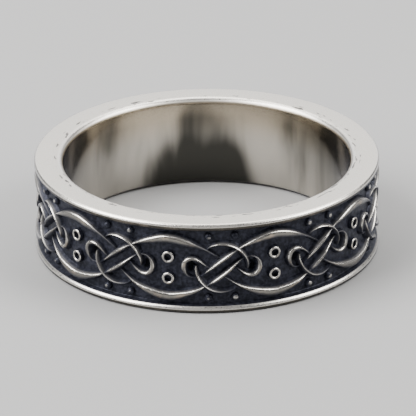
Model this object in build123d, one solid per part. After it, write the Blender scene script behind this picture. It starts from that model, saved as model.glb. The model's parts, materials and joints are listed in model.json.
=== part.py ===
from build123d import *
from build123d.topology import SkipClean
import math
import os
from collections import namedtuple

# A cast finger ring: a plain band with two raised rims and, sunk between them,
# a knotwork frieze that repeats round the outside. It is one piece of metal.
# The axis is Z, the ring lies on its side with its lower face at Z = 0,
# and the front of the ring is towards -Y. All lengths are in millimetres.

# Driving dimensions of the band
bore_diameter = 18.6
wall = 1.85
band_height = 6.14
rim_width = 0.46
rim_slope = 0.10
field_depth = 0.45
rim_rounding = 0.22
bore_rounding = 0.42

# Driving dimensions of the frieze
repeats = 10
first_knot_angle = 4.8
strand_width = 0.42
strand_flank = 0.15
loop_flank = 0.19
strand_root = 0.12
ring_outer_diameter = 0.80
ring_hole_diameter = 0.36
ring_relief = 0.30
ring_draft = 0.06
pellet_diameter = 0.56
pellet_relief = 0.30

# Places in the frieze, as shares of one repeat and of half the field's height
ring_share_up = 0.28
pellet_share_along = 0.125
pellet_share_up = 0.805

# Sizes that follow from them
bore_radius = bore_diameter / 2
outer_radius = bore_radius + wall
floor_radius = outer_radius - field_depth
middle = band_height / 2
half_field = middle - rim_width
pitch_angle = 360 / repeats
pitch = math.radians(pitch_angle) * outer_radius

# One row for each section of a strand. along is a share of one repeat, measured from
# the knot's centre, up is a share of half the field, crest is a share of the strand's
# full width and height is a share of the field's depth.
Section = namedtuple("Section", "along up crest height")

# The long strand is in three stretches. The first goes from the side of the upper bar out
# to the far end of the left curl.
CURL_OUT = [
    Section(-0.103, -0.018, 0.16, 0.36),
    Section(-0.136, 0.024, 0.18, 0.48),
    Section(-0.171, 0.108, 0.20, 0.58),
    Section(-0.211, 0.194, 0.28, 0.68),
    Section(-0.257, 0.260, 0.38, 0.76),
    Section(-0.305, 0.256, 0.48, 0.80),
    Section(-0.345, 0.175, 0.56, 0.80),
    Section(-0.362, 0.046, 0.56, 0.80),
]

# The second goes on round the curl and back to the bar.
CURL_BACK = [
    Section(-0.357, -0.086, 0.46, 0.76),
    Section(-0.337, -0.204, 0.28, 0.66),
    Section(-0.300, -0.280, 0.15, 0.54),
    Section(-0.250, -0.285, 0.13, 0.48),
    Section(-0.200, -0.222, 0.14, 0.50),
    Section(-0.157, -0.143, 0.18, 0.54),
]

# The third runs along the bar over the knot, then arcs over the next cell and dives under
# the upper bar of the next knot.
BAR_AND_ARC = [
    Section(-0.115, -0.048, 0.27, 0.68),
    Section(-0.058, 0.084, 0.40, 0.92),
    Section(0.000, 0.212, 0.42, 0.98),
    Section(0.060, 0.330, 0.42, 0.98),
    Section(0.121, 0.440, 0.30, 0.82),
    Section(0.180, 0.536, 0.26, 0.72),
    Section(0.240, 0.614, 0.50, 0.90),
    Section(0.300, 0.675, 0.70, 0.98),
    Section(0.365, 0.727, 0.88, 1.00),
    Section(0.430, 0.767, 0.97, 1.00),
    Section(0.500, 0.784, 1.00, 1.00),
    Section(0.570, 0.767, 1.00, 1.00),
    Section(0.635, 0.727, 0.92, 1.00),
    Section(0.700, 0.675, 0.76, 0.96),
    Section(0.760, 0.614, 0.50, 0.88),
    Section(0.820, 0.540, 0.32, 0.75),
    Section(0.880, 0.444, 0.22, 0.61),
    Section(0.940, 0.334, 0.20, 0.47),
    Section(1.000, 0.215, 0.18, 0.34),
]
LONG_STRAND = CURL_OUT + CURL_BACK + BAR_AND_ARC

# The loop that rises from under the long strand and ends in the curl's eye.
LOOP = [
    Section(-0.146, 0.482, 0.14, 0.44),
    Section(-0.112, 0.575, 0.15, 0.58),
    Section(-0.064, 0.630, 0.18, 0.70),
    Section(0.000, 0.650, 0.21, 0.84),
    Section(0.064, 0.622, 0.24, 0.94),
    Section(0.121, 0.552, 0.26, 1.00),
    Section(0.171, 0.441, 0.26, 1.00),
    Section(0.207, 0.316, 0.24, 0.94),
    Section(0.231, 0.180, 0.21, 0.84),
    Section(0.241, 0.048, 0.19, 0.70),
    Section(0.240, -0.060, 0.15, 0.50),
]


def band():
    """The plain ring: bore, two rims rounded like beads and the sunk field between."""
    foot = rim_width + rim_slope
    with BuildPart() as ring:
        with BuildSketch(Plane.XZ):
            with BuildLine():
                Polyline(
                    (bore_radius, 0),
                    (outer_radius, 0),
                    (outer_radius, rim_width),
                    (floor_radius, foot),
                    (floor_radius, band_height - foot),
                    (outer_radius, band_height - rim_width),
                    (outer_radius, band_height),
                    (bore_radius, band_height),
                    close=True,
                )
            make_face()
        revolve(axis=Axis.Z)
        edges = ring.edges().filter_by(GeomType.CIRCLE)
        rims = [edge for edge in edges if edge.radius > outer_radius - 1e-6]
        bore_ends = [edge for edge in edges if edge.radius < bore_radius + 1e-6]
        fillet(rims, rim_rounding)
        fillet(bore_ends, bore_rounding)
    return ring.part


def spot(along, up):
    """The frame on the field's floor at a place of the frieze: centre, outward, round, axial."""
    angle = along / outer_radius
    outward = Vector(math.sin(angle), -math.cos(angle), 0)
    sideways = Vector(math.cos(angle), math.sin(angle), 0)
    centre = outward * floor_radius + Vector(0, 0, middle + up)
    return centre, outward, sideways, Vector(0, 0, 1)


def profiles_of(sections, flank):
    """The outline of the ridge at each row of its table: a flat crest and sloped flanks."""
    places = [(row.along * pitch, row.up * half_field) for row in sections]
    last = len(places) - 1
    profiles = []
    for index, row in enumerate(sections):
        before = places[max(index - 1, 0)]
        after = places[min(index + 1, last)]
        length = math.hypot(after[0] - before[0], after[1] - before[1])
        run = (after[0] - before[0]) / length
        rise = (after[1] - before[1]) / length
        centre, outward, sideways, axial = spot(*places[index])
        across = axial * run - sideways * rise
        relief = row.height * field_depth
        half_crest = row.crest * strand_width / 2
        half_root = half_crest + flank * (relief + strand_root) / field_depth
        root = centre - outward * strand_root
        crest = centre + outward * relief
        corners = [
            root - across * half_root,
            crest - across * half_crest,
            crest + across * half_crest,
            root + across * half_root,
        ]
        profiles.append(Wire.make_polygon(corners, close=True))
    return profiles


def ridge(profiles, first, last):
    """The stretch of a strand from one of its outlines to another."""
    return Solid.make_loft(profiles[first : last + 1], ruled=False)


def seat(along, up):
    """A plane on the field's floor that looks outwards, for the small round pieces."""
    centre, outward, sideways, axial = spot(along, up)
    return Plane(origin=centre - outward * strand_root, x_dir=sideways, z_dir=outward)


def small_ring(along, up):
    """A little raised ring with a drafted outside and a straight hole down to the floor."""
    rise = ring_relief + strand_root
    top_radius = ring_outer_diameter / 2
    foot_radius = top_radius + ring_draft
    place = seat(along, up).location
    body = place * Cone(foot_radius, top_radius, rise, align=(Align.CENTER, Align.CENTER, Align.MIN))
    hole = Pos(0, 0, strand_root) * Cylinder(
        ring_hole_diameter / 2, rise, align=(Align.CENTER, Align.CENTER, Align.MIN)
    )
    return body - place * hole


def pellet(along, up):
    """A low domed pellet on the field's floor."""
    half_chord = pellet_diameter / 2
    radius = (half_chord**2 + pellet_relief**2) / (2 * pellet_relief)
    centre = seat(along, up).location * Pos(0, 0, strand_root + pellet_relief - radius)
    return centre * Sphere(radius)


def half_turned(piece):
    """The piece's twin, turned half round the knot's centre."""
    facing = Plane(origin=spot(0, 0)[0], x_dir=(1, 0, 0), z_dir=(0, -1, 0)).location
    return facing * Rot(0, 0, 180) * facing.inverse() * piece


def repeat_wedge():
    """One repeat of the ring, cut through the middle of the cells beside its knot."""
    wedge = Cylinder(
        2 * outer_radius,
        3 * band_height,
        arc_size=pitch_angle,
        rotation=(0, 0, -90 - pitch_angle / 2),
        align=(Align.NONE, Align.NONE, Align.CENTER),
    )
    next_knot = Rot(0, 0, pitch_angle)
    last_knot = Rot(0, 0, -pitch_angle)
    outlines = profiles_of(LONG_STRAND, strand_flank)
    curl_middle = len(CURL_OUT) - 1
    curl_end = curl_middle + len(CURL_BACK)
    arc = ridge(outlines, curl_end, len(LONG_STRAND) - 1)
    curl_out = ridge(outlines, 0, curl_middle)
    curl_back = ridge(outlines, curl_middle, curl_end)
    loop = ridge(profiles_of(LOOP, loop_flank), 0, len(LOOP) - 1)
    twin_arc = half_turned(arc)
    crossing = [arc, last_knot * arc, twin_arc, next_knot * twin_arc]
    inner = []
    for piece in (curl_back, curl_out, loop):
        inner += [piece, half_turned(piece)]
    ring_up = ring_share_up * half_field
    for up in (ring_up, -ring_up):
        crossing.append(small_ring(pitch / 2, up))
        crossing.append(small_ring(-pitch / 2, up))
    pellet_along = pellet_share_along * pitch
    pellet_up = pellet_share_up * half_field
    for along in (pellet_along, -pellet_along):
        for up in (pellet_up, -pellet_up):
            inner.append(pellet(along, up))
    cell = band() & wedge
    for piece in crossing:
        cell = cell.fuse(piece & wedge)
    for piece in inner:
        cell = cell.fuse(piece)
    return cell


def celtic_ring():
    """The repeats set round the axis and joined face to face into one casting."""
    cell = repeat_wedge()
    cells = [Rot(0, 0, first_knot_angle + index * pitch_angle) * cell for index in range(repeats)]
    with SkipClean():
        ring = cells[0].fuse(*cells[1:], glue=True)
    return ring


def main():
    os.makedirs("parts", exist_ok=True)
    ring = celtic_ring()
    ring.label = "ring_band"
    export_step(ring, "parts/ring_band.step")


main()
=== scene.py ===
import json
import math
from collections import namedtuple

import bmesh
import bpy
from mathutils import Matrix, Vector


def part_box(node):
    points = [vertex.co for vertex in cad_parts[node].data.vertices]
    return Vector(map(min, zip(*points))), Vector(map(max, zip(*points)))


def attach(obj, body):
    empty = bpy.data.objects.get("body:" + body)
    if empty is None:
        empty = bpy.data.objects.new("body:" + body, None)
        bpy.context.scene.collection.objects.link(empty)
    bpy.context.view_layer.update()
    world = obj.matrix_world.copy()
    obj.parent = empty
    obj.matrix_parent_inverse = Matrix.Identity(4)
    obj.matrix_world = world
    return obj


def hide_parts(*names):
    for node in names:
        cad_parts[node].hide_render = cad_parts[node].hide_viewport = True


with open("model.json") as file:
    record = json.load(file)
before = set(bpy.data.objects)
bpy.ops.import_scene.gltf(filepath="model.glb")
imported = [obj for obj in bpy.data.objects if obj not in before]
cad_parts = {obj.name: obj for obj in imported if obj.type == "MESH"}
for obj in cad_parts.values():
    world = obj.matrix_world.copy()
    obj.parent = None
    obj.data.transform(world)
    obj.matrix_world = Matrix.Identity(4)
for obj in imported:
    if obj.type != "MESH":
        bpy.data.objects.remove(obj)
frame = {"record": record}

bl_info = {
    "name": "Knotwork band ring",
    "version": (1, 0, 0),
    "blender": (4, 5, 0),
    "location": "3D View > Sidebar > Ring",
    "description": "Models and finishes a cast silver ring with a knotwork frieze",
    "category": "Add Mesh",
}

# Lengths are in metres. The ring's main sizes come from the frame.
MM = 0.001
NODE = "ring_band"
LOW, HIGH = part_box(NODE)
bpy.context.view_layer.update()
MOUNTS = {mount["name"]: mount for mount in frame["record"]["mounts"]}
OUTER_RADIUS = (HIGH.x - LOW.x) / 2
BORE_RADIUS = MOUNTS["finger_bore"]["dims"]["r_mm"] * MM
BAND_HEIGHT = HIGH.z
TINY = 0.001 * MM
MERGE_DISTANCE = 0.0005 * MM
SMOOTH_ANGLE = math.radians(40)
SHARP_ANGLE = math.radians(50)

# One row for each section of a strand. along is a share of one repeat, measured from
# the knot's centre, up is a share of half the field, crest is a share of the strand's
# full width and height is a share of the field's depth. The fifth column is how bright
# the crest is, partly worn polish and partly painted highlight and shade, and twin is the
# same for the strand's twin, whose wear and painted light differ.
Section = namedtuple("Section", "along up crest height rubbed twin")

# From the side of the upper bar out round the left curl and back to the bar, along the
# bar over the knot, then the arc over the next cell, which dives under the next bar.
LONG_STRAND = [
    Section(-0.103, -0.018, 0.16, 0.36, 0.00, 0.00),
    Section(-0.136, 0.024, 0.18, 0.48, 0.05, 0.00),
    Section(-0.171, 0.108, 0.20, 0.58, 0.35, 0.20),
    Section(-0.211, 0.194, 0.28, 0.68, 0.80, 0.70),
    Section(-0.255, 0.248, 0.38, 0.76, 1.00, 1.00),
    Section(-0.301, 0.243, 0.48, 0.80, 1.00, 1.00),
    Section(-0.338, 0.168, 0.56, 0.80, 1.00, 1.00),
    Section(-0.353, 0.044, 0.56, 0.80, 0.90, 0.95),
    Section(-0.348, -0.080, 0.46, 0.76, 0.50, 0.60),
    Section(-0.328, -0.185, 0.28, 0.66, 0.15, 0.20),
    Section(-0.292, -0.250, 0.15, 0.54, 0.05, 0.10),
    Section(-0.246, -0.258, 0.13, 0.48, 0.00, 0.05),
    Section(-0.200, -0.222, 0.14, 0.50, 0.00, 0.00),
    Section(-0.157, -0.143, 0.18, 0.54, 0.00, 0.30),
    Section(-0.115, -0.048, 0.27, 0.68, 0.85, 0.90),
    Section(-0.058, 0.084, 0.40, 0.92, 1.00, 1.00),
    Section(0.000, 0.212, 0.42, 0.98, 1.00, 1.00),
    Section(0.060, 0.330, 0.42, 0.98, 0.90, 0.85),
    Section(0.121, 0.440, 0.30, 0.82, 0.15, 0.00),
    Section(0.180, 0.536, 0.24, 0.72, 0.65, 0.60),
    Section(0.240, 0.614, 0.42, 0.90, 0.85, 0.95),
    Section(0.300, 0.675, 0.60, 0.98, 0.95, 1.00),
    Section(0.365, 0.727, 0.80, 1.00, 1.00, 1.00),
    Section(0.430, 0.767, 0.97, 1.00, 1.00, 1.00),
    Section(0.500, 0.784, 1.00, 1.00, 1.00, 1.00),
    Section(0.570, 0.767, 1.00, 1.00, 1.00, 1.00),
    Section(0.635, 0.727, 0.92, 1.00, 0.95, 1.00),
    Section(0.700, 0.675, 0.76, 0.96, 0.50, 1.00),
    Section(0.760, 0.614, 0.50, 0.88, 0.20, 0.95),
    Section(0.820, 0.540, 0.32, 0.75, 0.12, 0.80),
    Section(0.880, 0.444, 0.22, 0.61, 0.10, 0.35),
    Section(0.940, 0.334, 0.20, 0.47, 0.05, 0.10),
    Section(1.000, 0.215, 0.18, 0.34, 0.00, 0.00),
]

# The loop that rises from under the long strand and ends in the curl's eye.
LOOP = [
    Section(-0.146, 0.482, 0.14, 0.44, 0.00, 0.00),
    Section(-0.112, 0.575, 0.15, 0.58, 0.10, 0.00),
    Section(-0.064, 0.630, 0.18, 0.70, 0.60, 0.05),
    Section(0.000, 0.650, 0.21, 0.84, 1.00, 0.15),
    Section(0.064, 0.622, 0.24, 0.94, 1.00, 0.30),
    Section(0.121, 0.552, 0.26, 1.00, 1.00, 0.40),
    Section(0.171, 0.441, 0.26, 1.00, 1.00, 0.55),
    Section(0.207, 0.316, 0.24, 0.94, 1.00, 0.85),
    Section(0.231, 0.180, 0.21, 0.84, 1.00, 1.00),
    Section(0.241, 0.048, 0.19, 0.70, 0.90, 0.90),
    Section(0.240, -0.060, 0.15, 0.50, 0.30, 0.20),
]


def maker(kind, **looks):
    """A function that makes properties of one kind."""

    def make(name, description, default):
        return kind(name=name, description=description, default=default, **looks)

    return make


length = maker(bpy.props.FloatProperty, unit="LENGTH", subtype="DISTANCE", precision=5)
angle = maker(bpy.props.FloatProperty, unit="ROTATION", subtype="ANGLE")
share = maker(bpy.props.FloatProperty, subtype="FACTOR", min=0, max=1)
camera_length = maker(bpy.props.FloatProperty, unit="CAMERA")
colour = maker(bpy.props.FloatVectorProperty, subtype="COLOR", size=3, min=0, max=1)
count = maker(bpy.props.IntProperty, min=1)


class BandSizes(bpy.types.PropertyGroup):
    """The plain band and its two rims."""

    outer_radius: length("Outer radius", "Radius of the rims", OUTER_RADIUS)
    bore_radius: length("Bore radius", "Radius of the finger hole", BORE_RADIUS)
    height: length("Height", "Width of the band along its axis", BAND_HEIGHT)
    rim_width: length("Rim width", "Width of each raised rim", 0.46 * MM)
    rim_slope: length("Rim slope", "How far the rim's inner wall slopes", 0.10 * MM)
    field_depth: length("Field depth", "How far the field is sunk below the rims", 0.45 * MM)
    rim_rounding: length("Rim rounding", "Rounding of the rims' edges", 0.22 * MM)
    bore_rounding: length("Bore rounding", "Rounding of the bore's edges", 0.42 * MM)
    foot_rounding: length("Foot rounding", "Softening where the rims meet the field", 0.05 * MM)
    steps: count("Steps", "Divisions round the band", 540)
    field_cuts: count("Field cuts", "Cuts across the field", 40)
    rim_segments: count("Rim segments", "Steps of a rim's rounding", 8)
    foot_segments: count("Foot segments", "Steps of the foot's softening", 3)
    bore_segments: count("Bore segments", "Steps of the bore's rounding", 10)


class FriezeSizes(bpy.types.PropertyGroup):
    """The knotwork and the small pieces in the field."""

    repeats: count("Repeats", "Knots round the band", 10)
    first_knot: angle("First knot", "Where the front knot stands", math.radians(4.8))
    strand_width: length("Strand width", "Crest of the strand at its widest", 0.42 * MM)
    strand_flank: length("Strand flank", "Run of a strand's flank at full height", 0.15 * MM)
    loop_flank: length("Loop flank", "Run of a loop's flank at full height", 0.19 * MM)
    root: length("Root", "How deep the raised work goes into the floor", 0.12 * MM)
    reach: share("Reach", "Share of the field's height that the knotwork fills", 0.965)
    smoothness: count("Smoothness", "Stations between two rows of a strand's table", 4)
    ring_diameter: length("Ring diameter", "Outside of a small ring", 0.80 * MM)
    ring_hole: length("Ring hole", "Hole of a small ring", 0.46 * MM)
    ring_relief: length("Ring relief", "Height of a small ring", 0.30 * MM)
    ring_draft: length("Ring draft", "How far a small ring widens to its foot", 0.06 * MM)
    ring_drop: length("Ring drop", "How far the pairs of rings stand below the middle", 0.06 * MM)
    ring_up: share("Ring place", "Share of half the field", 0.28)
    ring_edge: length("Ring edge", "Rounding of a small ring's edges", 0.075 * MM)
    ring_foot: share("Ring foot", "Share of a hole's width that is left at its foot", 0.85)
    ring_points: count("Ring points", "Corners round a small ring", 28)
    ring_segments: count("Ring segments", "Steps of a small ring's rounding", 4)
    pellet_diameter: length("Pellet diameter", "Foot of a pellet", 0.56 * MM)
    pellet_relief: length("Pellet relief", "Height of a pellet", 0.30 * MM)
    pellet_along: share("Pellet place along", "Share of one repeat", 0.125)
    pellet_up: share("Pellet place up", "Share of half the field", 0.805)
    pellet_points: count("Pellet points", "Corners round a pellet", 20)
    pellet_rings: count("Pellet rings", "Steps from pole to pole of a pellet's sphere", 12)
    eye_along: length("Eye place along", "From a knot's centre to the eye of its curl", 2.02 * MM)
    eye_up: length("Eye place up", "From the band's middle to the eye of the right curl", -0.05 * MM)
    eye_width: length("Eye width", "Width of the hollow in a curl", 0.60 * MM)
    eye_height: length("Eye height", "Height of the hollow in a curl", 0.76 * MM)
    eye_depth: length("Eye depth", "How far the hollow goes below the field", 0.18 * MM)


class FinishColours(bpy.types.PropertyGroup):
    """The colours of the silver and its oxide."""

    # Polished silver on edges, also the painted highlight on parts that face up.
    silver: colour("Silver", "Polished silver on edges", (0.88, 0.845, 0.775))
    face_silver: colour("Face silver", "Satin silver on the faces", (0.78, 0.742, 0.665))
    # Worn silver on the crests, darkened as painted shade: it stands in for the dark surroundings the
    # crests would reflect.
    worn_and_shaded_crest_silver: colour("Crest silver", "Softly worn silver on the crests", (0.25, 0.238, 0.216))
    ring_silver: colour("Ring silver", "Silver on the small rings", (0.47, 0.452, 0.418))
    # Painted shade: the dark silver of the rims' walls and undersides, where they look sideways or down.
    shaded_rim_silver: colour("Worn silver", "Duller silver on the rims' undersides", (0.070, 0.064, 0.056))
    # The lit tone of the bore's painted reflections.
    bore_lit_silver: colour("Bore silver", "Tarnished silver in the bore", (0.60, 0.565, 0.50))
    bore_warm: colour("Warm bore", "Warmer stain towards the bore's upper end", (0.62, 0.53, 0.40))
    # Painted shade: the dark streaks of the bore's painted reflections.
    bore_painted_shade: colour("Dark bore", "The darker streaks in the bore", (0.052, 0.051, 0.045))
    tarnish: colour("Tarnish", "Warm stain left beside the oxide", (0.46, 0.39, 0.31))
    nick: colour("Nick", "The bottom of small nicks beside the bore", (0.05, 0.042, 0.036))
    oxide: colour("Oxide", "The dark coat in the field", (0.0085, 0.0092, 0.0140))
    oxide_worn: colour("Worn oxide", "The thinner, bluer coat", (0.036, 0.038, 0.054))
    # Deeper oxide in the curls' eyes, darkened further as painted shade.
    oxide_deep_and_shade: colour("Deep oxide", "The coat in the hollows", (0.003, 0.0035, 0.005))


class StageSizes(bpy.types.PropertyGroup):
    """The camera, the floor and where the lights look."""

    elevation: angle("Elevation", "Height of the camera above the ring", math.radians(24.08))
    roll: angle("Roll", "Turn of the camera about its view", math.radians(-0.536))
    distance: length("Distance", "From the camera to the point it looks at", 315.4 * MM)
    target_height: length("Target height", "Height of the point the camera looks at", 2.34 * MM)
    target_across: length("Target across", "How far right of the axis the camera looks", 0.06 * MM)
    light_target: length("Light target", "Height of the point the lights look at", 3 * MM)
    lens: camera_length("Lens", "Focal length in millimetres", 420.8)
    sensor: camera_length("Sensor", "Width of the sensor in millimetres", 36)
    clip_start: length("Clip start", "The nearest that the camera sees", 0.01)
    floor_size: length("Floor size", "Side of the floor", 1.6)
    floor_cuts: count("Floor cuts", "Cuts across the floor", 4)
    floor_colour: colour("Floor colour", "Colour of the floor", (0.37, 0.37, 0.37))


def deselect():
    """Leaves no object selected."""
    for other in list(bpy.context.selected_objects):
        other.select_set(False)


def select_only(piece):
    """Makes the piece the one selected and active object."""
    deselect()
    piece.select_set(True)
    bpy.context.view_layer.objects.active = piece


def settle():
    """Moves the active object's place, turn and scale into its mesh."""
    bpy.ops.object.transform_apply(location=True, rotation=True, scale=True)


def begin(name, add, **options):
    """Adds a primitive with nothing else selected and goes into edit mode on it."""
    deselect()
    add(**options)
    piece = bpy.context.object
    piece.name = name
    piece.data.name = name
    settle()
    bpy.ops.object.mode_set(mode="EDIT")
    bpy.ops.mesh.select_mode(type="VERT")
    bpy.ops.mesh.select_all(action="SELECT")
    return piece


def pick(piece, test):
    """Selects the vertices whose place passes the test, with their edges and faces."""
    mesh = bmesh.from_edit_mesh(piece.data)
    for vertex in mesh.verts:
        vertex.select = bool(test(vertex.co))
    mesh.select_flush_mode()
    bmesh.update_edit_mesh(piece.data)


def tidy_mesh():
    """Merges doubles, turns the faces outwards and leaves edit mode."""
    bpy.ops.mesh.select_all(action="SELECT")
    bpy.ops.mesh.remove_doubles(threshold=MERGE_DISTANCE)
    bpy.ops.mesh.normals_make_consistent(inside=False)
    bpy.ops.object.mode_set(mode="OBJECT")


def modify(piece, kind, **settings):
    """Gives the piece a modifier and applies it."""
    select_only(piece)
    modifier = piece.modifiers.new(kind.title(), kind)
    for key, value in settings.items():
        setattr(modifier, key, value)
    bpy.ops.object.modifier_apply(modifier=modifier.name)


def stations(rows, between, repeat, half_field):
    """Smooth stations through a strand's rows, with along and up as lengths."""
    made = []
    last = len(rows) - 1
    for index in range(last):
        before, here, after, beyond = (rows[min(max(index + k, 0), last)] for k in (-1, 0, 1, 2))
        for step in range(between):
            t = step / between
            values = []
            for a, b, c, d in zip(before, here, after, beyond):
                curve = 2 * b + (c - a) * t + (2 * a - 5 * b + 4 * c - d) * t**2
                values.append((curve + (3 * b - a - 3 * c + d) * t**3) / 2)
            made.append(Section(*values))
    made.append(rows[-1])
    return [row._replace(along=row.along * repeat, up=row.up * half_field) for row in made]


def choose(piece, numbers):
    """Selects the vertices with these numbers, with the edges and faces between them."""
    mesh = bmesh.from_edit_mesh(piece.data)
    mesh.verts.ensure_lookup_table()
    for vertex in mesh.verts:
        vertex.select = False
    for number in numbers:
        mesh.verts[number].select = True
    mesh.select_flush_mode()
    bmesh.update_edit_mesh(piece.data)


# The section of a ridge, from beside the crest's middle down to the root. Half its width
# is a share of half the crest and a share of the flank. Its height is a share of the
# strand's, with none at the root, and polish is a share of the crest's brightness.
Point = namedtuple("Point", "crest flank height polish")
SECTION = [
    Point(0.35, 0.00, 0.990, 1.00),
    Point(0.70, 0.00, 0.955, 1.00),
    Point(0.95, 0.02, 0.900, 0.90),
    Point(1.00, 0.12, 0.800, 0.15),
    Point(1.00, 0.58, 0.360, 0.00),
    Point(1.00, 1.05, 0.050, 0.00),
    Point(1.00, 1.60, None, 0.00),
]
# Vertex attributes of crest brightness: partly worn polish, partly painted highlight and shade.
RUBBED_AND_LIT = "rubbed"
TWIN_RUBBED_AND_LIT = "twin_rubbed_and_lit"


def outline(row, flank, band, frieze):
    """Half the width and the height of each pair of points in a ridge's section, and its top."""
    relief = row.height * band.field_depth
    half_crest = row.crest * frieze.strand_width / 2
    pairs = []
    for point in SECTION:
        half = point.crest * half_crest + point.flank * flank * row.height
        rise = -frieze.root if point.height is None else point.height * relief
        pairs.append((half, rise))
    return pairs, relief


def pair_numbers(ring, index):
    """The two vertices of the section at one height, one on each side of the crest."""
    return ring[index + 1], ring[-1 - index]


def mark_rubbed_and_lit(piece, ring, row):
    """Writes how bright each point of the section is, for the strand and for its twin."""
    mesh = bmesh.from_edit_mesh(piece.data)
    for name, rubbed in ((RUBBED_AND_LIT, row.rubbed), (TWIN_RUBBED_AND_LIT, row.twin)):
        layer = mesh.verts.layers.float.get(name) or mesh.verts.layers.float.new(name)
        mesh.verts.ensure_lookup_table()
        crest = min(max(rubbed, 0), 1)
        mesh.verts[ring[0]][layer] = crest
        for index, point in enumerate(SECTION):
            for number in pair_numbers(ring, index):
                mesh.verts[number][layer] = crest * point.polish
    bmesh.update_edit_mesh(piece.data)


def take_twin_polish(piece):
    """Gives the selected twin the brightness that was written for it."""
    mesh = bmesh.from_edit_mesh(piece.data)
    own = mesh.verts.layers.float.get(RUBBED_AND_LIT)
    other = mesh.verts.layers.float.get(TWIN_RUBBED_AND_LIT)
    if own and other:
        for vertex in mesh.verts:
            if vertex.select:
                vertex[own] = vertex[other]
    bmesh.update_edit_mesh(piece.data)


def size_section(piece, ring, pairs, top, before, centre):
    """Moves the section's pairs of points, and its top point, to their widths and heights."""
    old_pairs, old_top = before
    for index, ((half, rise), (old_half, old_rise)) in enumerate(zip(pairs, old_pairs)):
        choose(piece, pair_numbers(ring, index))
        out = half / old_half
        bpy.ops.transform.resize(value=(out, rise / old_rise, out), center_override=centre)
    choose(piece, (ring[0],))
    bpy.ops.transform.resize(value=(1, top / old_top, 1), center_override=centre)


def field_sizes(band, frieze):
    """Half the height between the rims and the length of one repeat."""
    return band.height / 2 - band.rim_width, 2 * math.pi * band.outer_radius / frieze.repeats


def strand(name, rows, flank, band, frieze):
    """A ridge on the flat field: its section is extruded, turned and sized along its path."""
    half_field, repeat = field_sizes(band, frieze)
    path = stations(rows, frieze.smoothness, repeat, half_field * frieze.reach)
    places = [Vector((row.along, band.field_depth, row.up)) for row in path]
    last = len(path) - 1
    headings = []
    for index in range(last + 1):
        run = places[min(index + 1, last)] - places[max(index - 1, 0)]
        headings.append(math.atan2(run.z, run.x))

    points = 2 * len(SECTION) + 1
    start_radius = frieze.strand_width
    piece = begin(
        name,
        bpy.ops.mesh.primitive_circle_add,
        vertices=points,
        radius=start_radius,
        fill_type="NGON",
        location=places[0],
        rotation=(math.pi, math.pi / 2, 0),
    )
    step = 2 * math.pi / points
    circle = [
        (start_radius * math.sin(step * (index + 1)), start_radius * math.cos(step * (index + 1)))
        for index in range(len(SECTION))
    ]
    before = (circle, start_radius)
    heading = 0
    for index, row in enumerate(path):
        if index:
            move = places[index] - places[index - 1]
            bpy.ops.mesh.extrude_region_move(TRANSFORM_OT_translate={"value": move})
        turn = (headings[index] - heading + math.pi) % (2 * math.pi) - math.pi
        bpy.ops.transform.rotate(value=turn, orient_axis="Y", center_override=places[index])
        heading = headings[index]
        ring = [vertex.index for vertex in bmesh.from_edit_mesh(piece.data).verts if vertex.select]
        pairs, top = outline(row, flank, band, frieze)
        size_section(piece, ring, pairs, top, before, places[index])
        before = (pairs, top)
        mark_rubbed_and_lit(piece, ring, row)
        choose(piece, ring)
    return piece


def add_twin(piece):
    """Adds the piece's twin, turned half round the knot's centre."""
    bpy.ops.mesh.select_all(action="SELECT")
    bpy.ops.mesh.duplicate()
    take_twin_polish(piece)
    bpy.ops.transform.rotate(value=math.pi, orient_axis="Y", center_override=(0, 0, 0))
    tidy_mesh()


def join(pieces, name):
    """Joins the pieces into the first of them."""
    select_only(pieces[0])
    for piece in pieces[1:]:
        piece.select_set(True)
    bpy.ops.object.join()
    pieces[0].name = name
    pieces[0].data.name = name
    return pieces[0]


def wrap(piece, band, frieze):
    """Bends the flat frieze onto the band and copies it round the axis."""
    corners = [vertex.co.x for vertex in piece.data.vertices]
    width = max(corners) - min(corners)
    bend = {"deform_method": "BEND", "deform_axis": "Z", "angle": width / band.outer_radius}
    modify(piece, "SIMPLE_DEFORM", **bend)
    piece.location = (0, -band.outer_radius, band.height / 2)
    settle()
    bpy.ops.object.mode_set(mode="EDIT")
    bpy.ops.mesh.select_all(action="SELECT")
    copies = frieze.repeats - 1
    sweep = 2 * math.pi / frieze.repeats * copies
    bpy.ops.mesh.spin(steps=copies, dupli=True, angle=sweep, center=(0, 0, 0), axis=(0, 0, 1))
    bpy.ops.object.mode_set(mode="OBJECT")
    piece.rotation_euler.z = frieze.first_knot
    settle()


def finish(piece, material, replaces):
    """Smooth shading, the material and the piece's place in the frame."""
    select_only(piece)
    bpy.ops.object.shade_smooth_by_angle(angle=SMOOTH_ANGLE)
    piece.data.materials.clear()
    piece.data.materials.append(material)
    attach(piece, "root")
    if replaces:
        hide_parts(NODE)


# How the nodes are laid out in the editor.
NODE_ACROSS = 190
NODE_DOWN = 260
NODES_IN_ROW = 9

# The shine of every surface, how metallic the whole dark coat is and how deep the grain is.
SPECULAR_LEVEL = 0.25
SPECULAR_TINT = (0.88, 0.91, 1.0, 1.0)
COAT_METALLIC = 0.35
GRAIN_DEPTH = 0.030 * MM


def fill(tree, node, inputs):
    """Fills or links the node's inputs."""
    for socket, value in inputs.items():
        if isinstance(value, bpy.types.NodeSocket):
            tree.links.new(value, node.inputs[socket])
        else:
            node.inputs[socket].default_value = value


def put(tree, kind, inputs=None, **settings):
    """Adds a node to the tree, with its settings, and fills or links its inputs."""
    node = tree.nodes.new("ShaderNode" + kind)
    row, column = divmod(len(tree.nodes), NODES_IN_ROW)
    node.location = (NODE_ACROSS * column, -NODE_DOWN * row)
    for key, value in settings.items():
        setattr(node, key, value)
    fill(tree, node, inputs or {})
    return node


def use(tree, group, inputs=None):
    """Places a node group in the tree; returns its outputs."""
    return put(tree, "Group", inputs, node_tree=group).outputs


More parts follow.
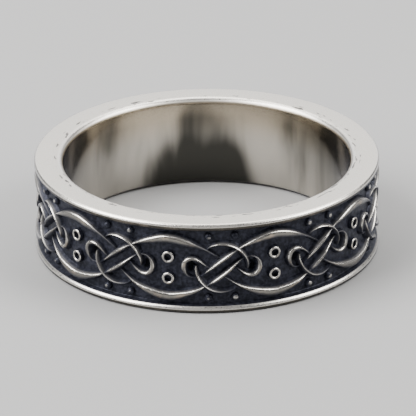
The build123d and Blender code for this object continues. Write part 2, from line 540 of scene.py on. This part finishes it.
def calc(tree, operation, *values, clamp=False):
    """A Math node on the values; returns its output."""
    inputs = dict(enumerate(values))
    return put(tree, "Math", inputs, operation=operation, use_clamp=clamp).outputs[0]


def chain(tree, operation, first, *others):
    """The values taken together by one Math operation, in their order."""
    for other in others:
        first = calc(tree, operation, first, other)
    return first


def times(tree, *values):
    """The product of the values."""
    return chain(tree, "MULTIPLY", *values)


def plus(tree, *values):
    """The sum of the values."""
    return chain(tree, "ADD", *values)


def minus(tree, *values):
    """The first value less the others."""
    return chain(tree, "SUBTRACT", *values)


def size_of(tree, value):
    """The value without its sign."""
    return calc(tree, "ABSOLUTE", value)


def ramp(tree, value, low, high, start=0.0, end=1.0):
    """The value mapped smoothly from low and high to start and end."""
    inputs = {"Value": value, "From Min": low, "From Max": high, "To Min": start, "To Max": end}
    return put(tree, "MapRange", inputs, interpolation_type="SMOOTHSTEP").outputs["Result"]


def blend(tree, factor, first, second):
    """A colour between two colours."""
    inputs = {0: factor}
    for socket, value in ((6, first), (7, second)):
        inputs[socket] = value if isinstance(value, bpy.types.NodeSocket) else (*value, 1)
    return put(tree, "Mix", inputs, data_type="RGBA").outputs[2]


def noise(tree, vector, scale, detail=3.0, roughness=0.55, distortion=0.0):
    """Cloudy noise; returns its value."""
    inputs = {"Vector": vector, "Scale": scale, "Detail": detail}
    inputs.update({"Roughness": roughness, "Distortion": distortion})
    return put(tree, "TexNoise", inputs).outputs["Fac"]


def stretched(tree, vector, scale):
    """The vector scaled along its axes."""
    return put(tree, "Mapping", {"Vector": vector, "Scale": scale}).outputs[0]


def axes(tree, vector):
    """The X, Y and Z parts of a vector."""
    return put(tree, "SeparateXYZ", {0: vector}).outputs


def flat_vector(tree, x, y):
    """A vector with no Z part."""
    return put(tree, "CombineXYZ", {"X": x, "Y": y}).outputs[0]


def vector_length(tree, vector):
    """How long a vector is."""
    return put(tree, "VectorMath", {0: vector}, operation="LENGTH").outputs["Value"]


def bearing(tree, parts):
    """The angle round the axis, from the front of the ring."""
    return calc(tree, "ARCTAN2", parts["X"], times(tree, parts["Y"], -1))


def bump(tree, height, strength):
    """A normal from the grain's height."""
    inputs = {"Height": height, "Strength": strength, "Distance": GRAIN_DEPTH}
    return put(tree, "Bump", inputs).outputs["Normal"]


def new_group(name, inputs, outputs):
    """A node group with its sockets; returns the group and its input node's outputs."""
    group = bpy.data.node_groups.new(name, "ShaderNodeTree")
    for side, sockets in (("INPUT", inputs), ("OUTPUT", outputs)):
        for label, kind in sockets.items():
            group.interface.new_socket(label, in_out=side, socket_type="NodeSocket" + kind)
    return group, group.nodes.new("NodeGroupInput").outputs


def close_group(group, results):
    """Links the results to the group's output node; returns the group."""
    fill(group, group.nodes.new("NodeGroupOutput"), results)
    return group


def place_group():
    """A point's place and radius in millimetres and how far it looks outwards and upwards."""
    outputs = {"Place": "Vector", "Radius": "Float", "Outward": "Float", "Upward": "Float"}
    group, _ = new_group("Place on the ring", {}, outputs)
    coordinates = put(group, "TexCoord").outputs
    scaled = {0: coordinates["Object"], "Scale": 1 / MM}
    place = put(group, "VectorMath", scaled, operation="SCALE").outputs[0]
    parts = axes(group, place)
    radial = flat_vector(group, parts["X"], parts["Y"])
    outwards = put(group, "VectorMath", {0: radial}, operation="NORMALIZE").outputs[0]
    facing = {0: outwards, 1: coordinates["Normal"]}
    results = {
        "Place": place,
        "Radius": vector_length(group, radial),
        "Outward": put(group, "VectorMath", facing, operation="DOT_PRODUCT").outputs["Value"],
        "Upward": axes(group, coordinates["Normal"])["Z"],
    }
    return close_group(group, results)


def grain_group():
    """The cast skin: soft lumps, small pits and fine tool marks, as a height and a mask of pits."""
    outputs = {"Height": "Float", "Pits": "Float"}
    group, entry = new_group("Cast grain", {"Place": "Vector", "Pits": "Float"}, outputs)
    place = entry["Place"]
    lumps = noise(group, place, scale=3.2, detail=4, roughness=0.6, distortion=0.4)
    fine = noise(group, place, scale=14.0, detail=3, roughness=0.6)
    marks = noise(group, stretched(group, place, (1.5, 1.5, 9.0)), scale=2.4, detail=2, roughness=0.5)
    cells = put(group, "TexVoronoi", {"Vector": place, "Scale": 4.5, "Randomness": 1.0})
    dots = ramp(group, cells.outputs["Distance"], 0.05, 0.16, 1.0, 0.0)
    sparse = ramp(group, noise(group, place, scale=1.1, detail=2), 0.50, 0.62)
    pits = times(group, dots, sparse, entry["Pits"])
    skin = plus(group, lumps, times(group, fine, 0.45), times(group, marks, 0.25))
    return close_group(group, {"Height": minus(group, skin, pits), "Pits": pits})


def clouds(tree, place, start, end):
    """Soft patches that move how worn the silver is down or up."""
    return ramp(tree, noise(tree, place, scale=1.6, detail=3, roughness=0.6), 0.3, 0.7, start, end)


def field_rise(tree, radius, band):
    """How far a point is above the field's floor, as a share of the field's depth."""
    above = minus(tree, radius, (band.outer_radius - band.field_depth) / MM)
    return calc(tree, "DIVIDE", above, band.field_depth / MM)


def oxide_group(band):
    """How far the dark coat has worn away: by height in the field and by the way it looks."""
    inputs = {"Place": "Vector", "Radius": "Float", "Outward": "Float", "Low": "Float", "High": "Float"}
    group, entry = new_group("Rubbed oxide", inputs, {"Polish": "Float"})
    rise = field_rise(group, entry["Radius"], band)
    rise = plus(group, rise, clouds(group, entry["Place"], -0.10, 0.10))
    high = ramp(group, rise, entry["Low"], entry["High"])
    outward = ramp(group, entry["Outward"], 0.35, 0.85)
    return close_group(group, {"Polish": times(group, high, outward)})


def eye_group(band, frieze):
    """The hollow in the eye of each curl, found by its place in the repeating frieze."""
    group, entry = new_group("Curl eyes", {"Place": "Vector"}, {"Hollow": "Float"})
    parts = axes(group, entry["Place"])
    half_pitch = math.pi / frieze.repeats
    turn = minus(group, bearing(group, parts), frieze.first_knot)
    along = times(group, calc(group, "WRAP", turn, half_pitch, -half_pitch), band.outer_radius / MM)
    up = minus(group, parts["Z"], band.height / 2 / MM)
    up = times(group, up, calc(group, "SIGN", along))
    across = minus(group, size_of(group, along), frieze.eye_along / MM)
    above = minus(group, up, frieze.eye_up / MM)
    across = calc(group, "DIVIDE", across, frieze.eye_width / 2 / MM)
    above = calc(group, "DIVIDE", above, frieze.eye_height / 2 / MM)
    distance = vector_length(group, flat_vector(group, across, above))
    return close_group(group, {"Hollow": ramp(group, distance, 1.25, 0.65)})


def shader(name):
    """A material with an empty tree and its Principled BSDF."""
    material = bpy.data.materials.new(name)
    material.use_nodes = True
    tree = material.node_tree
    tree.nodes.clear()
    shine = {"Specular IOR Level": SPECULAR_LEVEL, "Specular Tint": SPECULAR_TINT}
    surface = put(tree, "BsdfPrincipled", shine)
    put(tree, "OutputMaterial", {"Surface": surface.outputs[0]})
    return material, tree, surface


def coat_colour(tree, place, colours):
    """The dark coat, thinner and bluer in small clouds."""
    sheen = ramp(tree, noise(tree, place, scale=4.0, detail=5, roughness=0.65), 0.36, 0.68)
    return blend(tree, sheen, colours.oxide, colours.oxide_worn)


def frieze_material(groups, colours, name, crest_colour, low=None, high=None):
    """Oxidised silver with its crests polished bright, by the piece's own attribute (worn polish and
    painted light) or by height, with painted highlights on edges that face up and painted shade where
    the silver faces down.
    """
    material, tree, surface = shader(name)
    spot = use(tree, groups["place"])
    place, outward, upward = spot["Place"], spot["Outward"], spot["Upward"]
    grain = use(tree, groups["grain"], {"Place": place, "Pits": 0.6})
    if low is None:
        # The attribute holds crest brightness: partly worn polish, partly painted highlight and shade.
        rubbed = put(tree, "Attribute", attribute_name=RUBBED_AND_LIT).outputs["Fac"]
        patches = times(tree, clouds(tree, place, -0.18, 0.12), rubbed)
        worn = calc(tree, "ADD", rubbed, patches, clamp=True)
    else:
        inputs = {"Place": place, "Radius": spot["Radius"], "Outward": outward, "Low": low, "High": high}
        worn = use(tree, groups["oxide"], inputs)["Polish"]
    polish = calc(tree, "SUBTRACT", worn, times(tree, grain["Pits"], 0.6), clamp=True)
    # Painted shade: the polish fades where the silver faces down, so the undersides keep the dark coat.
    polish = times(tree, polish, ramp(tree, upward, -0.32, 0.08, 0.18, 1.0))
    tint = ramp(tree, noise(tree, place, scale=1.3, detail=3), 0.52, 0.72)
    crest = blend(tree, tint, crest_colour, colours.tarnish)
    # Painted highlight: edges that face up take bright polished silver, edges that face down keep the
    # crest's colour.
    edge = times(tree, ramp(tree, outward, 0.985, 0.86), ramp(tree, upward, -0.15, 0.20))
    bright = blend(tree, edge, crest, colours.silver)
    look = {
        "Base Color": blend(tree, polish, coat_colour(tree, place, colours), bright),
        "Roughness": ramp(tree, polish, 0.0, 1.0, 0.42, 0.22),
        "Metallic": ramp(tree, polish, 0.0, 1.0, COAT_METALLIC, 1.0),
        "Normal": bump(tree, grain["Height"], 0.55),
    }
    fill(tree, surface, look)
    return material


def rim_colour(tree, place, upward, inward, face, colours):
    """Painted highlight in bright silver where the rims look up or inward, painted shade in dark silver
    with a warm stain below, and satin on the two faces.
    """
    tint = ramp(tree, noise(tree, place, scale=0.9, detail=4), 0.50, 0.75, end=0.30)
    # The walls take painted shade, a dark silver with a warm stain; lit is painted highlight in bright
    # silver where the rim looks up or inward.
    wall = blend(tree, tint, colours.shaded_rim_silver, colours.tarnish)
    upper = times(tree, inward, ramp(tree, upward, -0.15, 0.05))
    lit = calc(tree, "MAXIMUM", ramp(tree, upward, -0.02, 0.20), upper)
    rim = blend(tree, lit, wall, colours.silver)
    stained = ramp(tree, noise(tree, place, scale=2.6, detail=5, roughness=0.65), 0.55, 0.80, end=0.22)
    satin = blend(tree, stained, colours.face_silver, colours.tarnish)
    return blend(tree, face, rim, satin)


def bore_colour(tree, place, parts, lip, colours, band):
    """Tarnished silver with painted reflections: bright slanting patches at both sides and finer
    streaks, painted shade low in the middle, and a warmer top.

    Levels are in millimetres above the lower face, and sides are shares of the bore's radius.
    """
    level = parts["Z"]
    across = calc(tree, "DIVIDE", parts["X"], band.bore_radius / MM)
    side = size_of(tree, plus(tree, across, 0.06))
    slanted = plus(tree, side, times(tree, level, 0.05))
    patch = ramp(tree, size_of(tree, minus(tree, slanted, 0.60)), 0.30, 0.06, end=0.32)
    ends = ramp(tree, side, 0.60, 0.85, end=0.26)
    top = ramp(tree, level, 4.6, 5.8, end=0.20)
    low = times(tree, ramp(tree, level, 4.0, 1.6, end=0.30), ramp(tree, side, 0.5, 0.2))
    flow = stretched(tree, place, (0.34, 0.34, 0.08))
    streaks = noise(tree, flow, scale=1.0, detail=3, roughness=0.55, distortion=0.4)
    # Painted reflections: patch, ends and streaks brighten the bore; low is painted shade, darker low in
    # the middle.
    polish = ramp(tree, minus(tree, plus(tree, streaks, patch, ends, top), low), 0.30, 0.98)
    polish = calc(tree, "MAXIMUM", polish, times(tree, lip, 0.9))
    warm = ramp(tree, level, 3.0, 5.2, end=0.85)
    clear = blend(tree, warm, colours.bore_lit_silver, colours.bore_warm)
    return blend(tree, polish, colours.bore_painted_shade, clear)


def nick_mask(tree, spot, parts, band):
    """Small nicks in the upper face, in a ring beside the bore; lengths are in millimetres."""
    around = flat_vector(tree, times(tree, bearing(tree, parts), 10.0), spot["Radius"])
    grid = stretched(tree, around, (1.0, 4.5, 1.0))
    specks = ramp(tree, noise(tree, grid, scale=1.0, detail=2, roughness=0.5), 0.60, 0.64)
    bore_edge = band.bore_radius / MM
    near_bore = ramp(tree, spot["Radius"], bore_edge + 0.78, bore_edge + 0.62)
    return times(tree, specks, near_bore, ramp(tree, spot["Upward"], 0.90, 0.98))


def band_material(groups, colours, band):
    """Satin faces, rims with painted highlight and shade, a bore with painted reflections and a dark
    field, each where the band has them.
    """
    material, tree, surface = shader("Band silver")
    spot = use(tree, groups["place"])
    place, outward, upward = spot["Place"], spot["Outward"], spot["Upward"]
    parts = axes(tree, place)
    grain = use(tree, groups["grain"], {"Place": place, "Pits": 0.7})

    # Where the faces, the bore, its upper lip and the bare silver are.
    soft = 0.01
    half = band.height / 2 / MM
    round_start = half - band.rim_rounding / MM
    from_middle = size_of(tree, minus(tree, parts["Z"], half))
    at_end = ramp(tree, from_middle, half - 2 * soft, half - soft)
    face = times(tree, ramp(tree, size_of(tree, upward), 0.90, 0.99), at_end)
    top_round = ramp(tree, from_middle, round_start - soft, round_start + soft)
    inside = ramp(tree, outward, -0.80, -0.97)
    inward = ramp(tree, outward, -0.02, -0.10)
    lip = ramp(tree, upward, 0.02, 0.20)
    bead = ramp(tree, field_rise(tree, spot["Radius"], band), 0.66, 0.86)
    clean = calc(tree, "MAXIMUM", calc(tree, "MAXIMUM", top_round, inward), bead, clamp=True)
    hollow = use(tree, groups["eye"], {"Place": place})["Hollow"]
    hollow = times(tree, hollow, ramp(tree, outward, 0.20, 0.60))
    nicks = nick_mask(tree, spot, parts, band)

    bright = rim_colour(tree, place, upward, inward, face, colours)
    bright = blend(tree, inside, bright, bore_colour(tree, place, parts, lip, colours, band))
    # The curls' eyes take deeper oxide, partly real coat and partly painted shade in the hollow.
    dark = blend(tree, hollow, coat_colour(tree, place, colours), colours.oxide_deep_and_shade)
    skin = blend(tree, clean, dark, bright)

    satin = ramp(tree, noise(tree, place, scale=7.0, detail=4, roughness=0.6), 0.3, 0.7, 0.26, 0.34)
    soft_lip = times(tree, lip, inward, ramp(tree, upward, 0.75, 0.45))
    rough = plus(
        tree,
        ramp(tree, clean, 0.0, 1.0, 0.45, 0.0),
        times(tree, hollow, 0.4),
        times(tree, satin, clean),
        times(tree, inside, -0.16),
        times(tree, soft_lip, 0.22),
    )
    grain_height = times(tree, grain["Height"], ramp(tree, clean, 0.0, 1.0, 1.0, 0.09))
    look = {
        "Base Color": blend(tree, times(tree, nicks, 0.85), skin, colours.nick),
        "Roughness": rough,
        "Metallic": ramp(tree, clean, 0.0, 1.0, COAT_METALLIC, 1.0),
        "Normal": bump(tree, minus(tree, grain_height, nicks), 0.6),
    }
    fill(tree, surface, look)
    return material


def floor_material(colour_value):
    """Plain pale paper with a very soft mottle."""
    material, tree, surface = shader("Pale floor")
    mottle = noise(tree, put(tree, "TexCoord").outputs["Object"], scale=6.0, detail=3)
    darker = tuple(0.97 * value for value in colour_value)
    paper = blend(tree, ramp(tree, mottle, 0.3, 0.7), tuple(colour_value), darker)
    fill(tree, surface, {"Base Color": paper, "Roughness": 0.9})
    return material


def ring_materials(scene):
    """The materials, made once and kept by name."""
    if "Band silver" not in bpy.data.materials:
        colours = scene.ring_finish
        band = scene.ring_band_sizes
        groups = {
            "place": place_group(),
            "grain": grain_group(),
            "oxide": oxide_group(band),
            "eye": eye_group(band, scene.ring_frieze_sizes),
        }
        band_material(groups, colours, band)
        frieze_material(groups, colours, "Knotwork silver", colours.worn_and_shaded_crest_silver)
        frieze_material(groups, colours, "Cell ring silver", colours.ring_silver, 0.50, 0.62)
        frieze_material(groups, colours, "Pellet silver", colours.ring_silver, 0.58, 0.72)
    return bpy.data.materials


# How far each step of a hollow reaches from the middle of its eye, as a share of the eye.
EYE_STEPS = (1.15, 0.85, 0.6)


def eye_distance(at, band, frieze):
    """How far a point of the field is from the nearest curl's eye, as a share of the eye."""
    pitch = 2 * math.pi / frieze.repeats
    turn = math.atan2(at.x, -at.y) - frieze.first_knot
    along = ((turn + pitch / 2) % pitch - pitch / 2) * band.outer_radius
    up = (at.z - band.height / 2) * math.copysign(1, along)
    across = (abs(along) - frieze.eye_along) / (frieze.eye_width / 2)
    above = (up - frieze.eye_up) / (frieze.eye_height / 2)
    return math.hypot(across, above)


def sink_eyes(piece, band, frieze):
    """Presses a shallow hollow into the field in the eye of each curl."""
    floor = band.outer_radius - band.field_depth
    near_floor = 0.02 * MM
    bpy.ops.object.mode_set(mode="EDIT")
    for reach in EYE_STEPS:
        pick(
            piece,
            lambda at: abs(math.hypot(at.x, at.y) - floor) < near_floor + frieze.eye_depth
            and eye_distance(at, band, frieze) < reach,
        )
        bpy.ops.transform.shrink_fatten(value=-frieze.eye_depth / len(EYE_STEPS))
    bpy.ops.object.mode_set(mode="OBJECT")


def parts_of(scene):
    """The sizes of the band and the frieze, and the materials."""
    return scene.ring_band_sizes, scene.ring_frieze_sizes, ring_materials(scene)


class KNOTRING_OT_band(bpy.types.Operator):
    """Spins the band with its rims, its sunk field and its bore"""

    bl_idname = "knotring.band"
    bl_label = "Band"

    def execute(self, context):
        sizes, frieze, materials = parts_of(context.scene)
        outer, bore, height = sizes.outer_radius, sizes.bore_radius, sizes.height
        floor = outer - sizes.field_depth
        foot = sizes.rim_width + sizes.rim_slope
        middle = Vector(((outer + bore) / 2, 0, height / 2))
        piece = begin(
            "silver_band",
            bpy.ops.mesh.primitive_plane_add,
            size=1 * MM,
            location=middle,
            rotation=(math.pi / 2, 0, 0),
        )
        bpy.ops.transform.resize(value=((outer - bore) / MM, 1, height / MM), center_override=middle)
        bpy.ops.mesh.delete(type="ONLY_FACE")
        pick(piece, lambda at: at.x > middle.x)
        heights = (sizes.rim_width, foot, height - foot, height - sizes.rim_width)
        bpy.ops.mesh.subdivide(number_cuts=len(heights))
        depths = (0, sizes.field_depth, sizes.field_depth, 0)
        for step, (level, depth) in enumerate(zip(heights, depths)):
            from_level = height * (step + 1) / (len(heights) + 1)
            pick(piece, lambda at: at.x > outer - TINY and abs(at.z - from_level) < TINY)
            bpy.ops.transform.translate(value=(-depth, 0, level - from_level))
        roundings = (
            (outer, 0, sizes.rim_rounding, sizes.rim_segments),
            (outer, sizes.rim_width, sizes.rim_rounding, sizes.rim_segments),
            (floor, foot, sizes.foot_rounding, sizes.foot_segments),
            (bore, 0, sizes.bore_rounding, sizes.bore_segments),
        )
        for radius, level, rounding, segments in roundings:
            low = Vector((radius, 0, level))
            high = Vector((radius, 0, height - level))
            pick(piece, lambda at: min((at - low).length, (at - high).length) < TINY)
            edge = {"offset": rounding, "offset_type": "OFFSET", "segments": segments}
            bpy.ops.mesh.bevel(affect="VERTICES", **edge)
        pick(piece, lambda at: abs(at.x - floor) < TINY)
        bpy.ops.mesh.subdivide(number_cuts=sizes.field_cuts)
        bpy.ops.mesh.select_all(action="SELECT")
        bpy.ops.mesh.spin(steps=sizes.steps, angle=2 * math.pi, center=(0, 0, 0), axis=(0, 0, 1))
        tidy_mesh()
        sink_eyes(piece, sizes, frieze)
        finish(piece, materials["Band silver"], True)
        return {"FINISHED"}


class KNOTRING_OT_knots(bpy.types.Operator):
    """Models one knot's strands flat, then bends them onto the band and repeats them"""

    bl_idname = "knotring.knots"
    bl_label = "Knotwork"

    def execute(self, context):
        band, frieze, materials = parts_of(context.scene)
        pieces = []
        for name, rows, flank in (
            ("silver_knotwork", LONG_STRAND, frieze.strand_flank),
            ("loop", LOOP, frieze.loop_flank),
        ):
            piece = strand(name, rows, flank, band, frieze)
            add_twin(piece)
            pieces.append(piece)
        knots = join(pieces, "silver_knotwork")
        wrap(knots, band, frieze)
        finish(knots, materials["Knotwork silver"], True)
        return {"FINISHED"}


class KNOTRING_OT_cell_rings(bpy.types.Operator):
    """Makes the pairs of small raised rings between the knots"""

    bl_idname = "knotring.cell_rings"
    bl_label = "Cell rings"

    def execute(self, context):
        band, frieze, materials = parts_of(context.scene)
        half_field, repeat = field_sizes(band, frieze)
        place = Vector((repeat / 2, band.field_depth + frieze.root, frieze.ring_up * half_field))
        top_radius = frieze.ring_diameter / 2
        rise = frieze.ring_relief + frieze.root
        piece = begin(
            "silver_cell_rings",
            bpy.ops.mesh.primitive_circle_add,
            vertices=frieze.ring_points,
            radius=top_radius + frieze.ring_draft,
            fill_type="NGON",
            location=place,
            rotation=(math.pi / 2, 0, 0),
        )
        bpy.ops.mesh.extrude_region_move(TRANSFORM_OT_translate={"value": (0, -rise, 0)})
        narrow = top_radius / (top_radius + frieze.ring_draft)
        bpy.ops.transform.resize(value=(narrow, 1, narrow), center_override=place)
        bpy.ops.mesh.inset(thickness=top_radius - frieze.ring_hole / 2, depth=0)
        sink = rise - frieze.root / 2
        bpy.ops.mesh.extrude_region_move(TRANSFORM_OT_translate={"value": (0, sink, 0)})
        taper = (frieze.ring_foot, 1, frieze.ring_foot)
        bpy.ops.transform.resize(value=taper, center_override=place)
        bpy.ops.object.mode_set(mode="OBJECT")
        edge = {"width": frieze.ring_edge, "segments": frieze.ring_segments}
        modify(piece, "BEVEL", limit_method="ANGLE", angle_limit=SHARP_ANGLE, **edge)
        bpy.ops.object.mode_set(mode="EDIT")
        add_twin(piece)
        piece.location.z -= frieze.ring_drop
        settle()
        wrap(piece, band, frieze)
        finish(piece, materials["Cell ring silver"], False)
        return {"FINISHED"}


class KNOTRING_OT_pellets(bpy.types.Operator):
    """Makes the four pellets round each knot"""

    bl_idname = "knotring.pellets"
    bl_label = "Pellets"

    def execute(self, context):
        band, frieze, materials = parts_of(context.scene)
        half_field, repeat = field_sizes(band, frieze)
        half_chord = frieze.pellet_diameter / 2
        radius = (half_chord**2 + frieze.pellet_relief**2) / (2 * frieze.pellet_relief)
        pieces = []
        for side in (1, -1):
            along = side * frieze.pellet_along * repeat
            depth = band.field_depth - frieze.pellet_relief + radius
            place = Vector((along, depth, frieze.pellet_up * half_field))
            piece = begin(
                "silver_pellets",
                bpy.ops.mesh.primitive_uv_sphere_add,
                segments=frieze.pellet_points,
                ring_count=frieze.pellet_rings,
                radius=radius,
                location=place,
                rotation=(math.pi / 2, 0, 0),
            )
            bpy.ops.mesh.bisect(
                plane_co=(0, band.field_depth + frieze.root / 2, 0),
                plane_no=(0, 1, 0),
                threshold=TINY,
                clear_outer=True,
                use_fill=True,
            )
            add_twin(piece)
            pieces.append(piece)
        pellets = join(pieces, "silver_pellets")
        wrap(pellets, band, frieze)
        finish(pellets, materials["Pellet silver"], False)
        return {"FINISHED"}


# One row for each soft light: where it stands, the lengths of its sides, its power and tint.
Light = namedtuple("Light", "name place sides power tint")
LIGHTS = [
    Light("Back", (0, 0.36, 0.25), (0.55, 0.50), 1.60, (1.0, 0.985, 0.965)),
    Light("Overhead", (0, 0.13, 0.36), (0.46, 0.24), 1.15, (1.0, 0.985, 0.96)),
    Light("Left front", (-0.25, -0.07, 0.24), (0.30, 0.30), 3.0, (1.0, 0.99, 0.98)),
    Light("Front fill", (0, -0.45, 0.20), (0.35, 0.36), 0.13, (1.0, 0.96, 0.92)),
    Light("Right front", (0.26, -0.04, 0.22), (0.24, 0.24), 1.55, (1.0, 0.985, 0.96)),
]
SKY_COLOUR = (0.42, 0.47, 0.60, 1)
SKY_STRENGTH = 0.12


def add_floor(stage):
    """The plain floor that the ring rests on."""
    floor = begin("studio_floor", bpy.ops.mesh.primitive_plane_add, size=stage.floor_size)
    bpy.ops.mesh.subdivide(number_cuts=stage.floor_cuts)
    bpy.ops.object.mode_set(mode="OBJECT")
    floor.data.materials.append(floor_material(stage.floor_colour))


def add_camera(scene, stage):
    """The camera, in front of the ring and above it."""
    aim = Vector((stage.target_across, 0, stage.target_height))
    reach = Vector((0, -math.cos(stage.elevation), math.sin(stage.elevation))) * stage.distance
    bpy.ops.object.camera_add(location=aim + reach)
    camera = bpy.context.object
    camera.name = "Camera"
    camera.rotation_euler = (-reach).to_track_quat("-Z", "Y").to_euler()
    camera.rotation_euler.rotate_axis("Z", stage.roll)
    camera.data.sensor_width = stage.sensor
    camera.data.lens = stage.lens
    camera.data.clip_start = stage.clip_start
    scene.camera = camera


def add_light(row, aim):
    """A soft rectangular light that looks at a point."""
    bpy.ops.object.light_add(type="AREA", location=row.place)
    light = bpy.context.object
    light.name = row.name
    light.data.shape = "RECTANGLE"
    light.data.size, light.data.size_y = row.sides
    light.data.energy = row.power
    light.data.color = row.tint
    light.rotation_euler = (aim - Vector(row.place)).to_track_quat("-Z", "Y").to_euler()


def add_sky(scene):
    """A faint, even, cool light from all round."""
    world = bpy.data.worlds.new("Studio")
    world.use_nodes = True
    sky = {"Color": SKY_COLOUR, "Strength": SKY_STRENGTH}
    fill(world.node_tree, world.node_tree.nodes["Background"], sky)
    scene.world = world


class KNOTRING_OT_stage(bpy.types.Operator):
    """Sets the floor, the camera, the lights and the sky"""

    bl_idname = "knotring.stage"
    bl_label = "Stage"

    def execute(self, context):
        stage = context.scene.ring_stage_sizes
        add_floor(stage)
        add_camera(context.scene, stage)
        for row in LIGHTS:
            add_light(row, Vector((0, 0, stage.light_target)))
        add_sky(context.scene)
        return {"FINISHED"}


class KNOTRING_PT_panel(bpy.types.Panel):
    """The ring's sizes, its finish and the steps that make it"""

    bl_idname = "KNOTRING_PT_panel"
    bl_label = "Knotwork band ring"
    bl_space_type = "VIEW_3D"
    bl_region_type = "UI"
    bl_category = "Ring"

    def draw(self, context):
        for key in SCENE_PROPERTIES:
            group = getattr(context.scene, key)
            box = self.layout.box()
            box.label(text=group.__doc__)
            for name in group.__annotations__:
                box.prop(group, name)
        for operator in OPERATORS:
            self.layout.operator(operator.bl_idname)


OPERATORS = (
    KNOTRING_OT_band,
    KNOTRING_OT_knots,
    KNOTRING_OT_cell_rings,
    KNOTRING_OT_pellets,
    KNOTRING_OT_stage,
)
SCENE_PROPERTIES = {
    "ring_band_sizes": BandSizes,
    "ring_frieze_sizes": FriezeSizes,
    "ring_finish": FinishColours,
    "ring_stage_sizes": StageSizes,
}


def register():
    """Adds the classes and the scene's properties."""
    for item in (*SCENE_PROPERTIES.values(), *OPERATORS, KNOTRING_PT_panel):
        bpy.utils.register_class(item)
    for name, group in SCENE_PROPERTIES.items():
        setattr(bpy.types.Scene, name, bpy.props.PointerProperty(type=group))


def unregister():
    """Removes the scene's properties and the classes."""
    for name in SCENE_PROPERTIES:
        delattr(bpy.types.Scene, name)
    for item in reversed((*SCENE_PROPERTIES.values(), *OPERATORS, KNOTRING_PT_panel)):
        bpy.utils.unregister_class(item)


def main():
    """Makes the ring and its stage."""
    register()
    bpy.ops.knotring.band()
    bpy.ops.knotring.knots()
    bpy.ops.knotring.cell_rings()
    bpy.ops.knotring.pellets()
    bpy.ops.knotring.stage()


if __name__ == "__main__":
    main()
